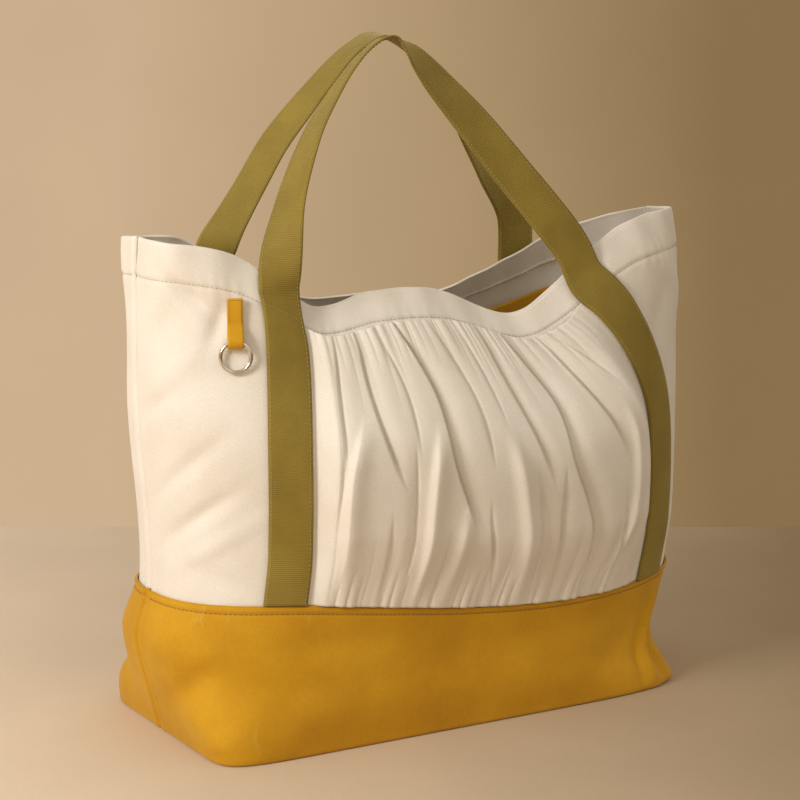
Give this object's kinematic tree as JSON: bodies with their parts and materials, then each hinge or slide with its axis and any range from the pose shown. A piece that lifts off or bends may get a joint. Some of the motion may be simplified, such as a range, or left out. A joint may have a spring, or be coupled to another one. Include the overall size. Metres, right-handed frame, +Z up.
{
  "type": "canvas and suede tote bag",
  "caption": "Large open-top spa tote of canvas on a suede base, with a gathered front pocket, webbing handles and a hanging ring on a tab.",
  "frame": {"origin": "middle of the base on the floor, at the base_rest mount", "axes": "+Z up from the floor to the handles, +X to the right along the bag's length, the pocket side faces -Y"},
  "size_m": [0.4934, 0.2515, 0.5517],
  "materials": {
    "canvas": "matte cotton weave",
    "suede": "napped, matte, scuffed",
    "webbing": "ribbed, slightly shiny",
    "nickel": "polished"
  },
  "bodies": {
    "bag": {"front_panel": "canvas", "back_panel": "canvas", "suede_base": "suede", "gathered_pocket": "canvas", "inner_pocket": "suede", "front_handle": "webbing", "back_handle": "webbing", "ring_tab": "suede"},
    "ring": {"o_ring": "nickel"}
  },
  "joints": [
    {"name": "ring_swing", "type": "hinge", "parent": "bag", "child": "ring", "pos_m": [-0.19252, -0.0737, 0.32746], "axis": [-0.9171, 0.3987, 0], "range_deg": [0, 110]}
  ]
}
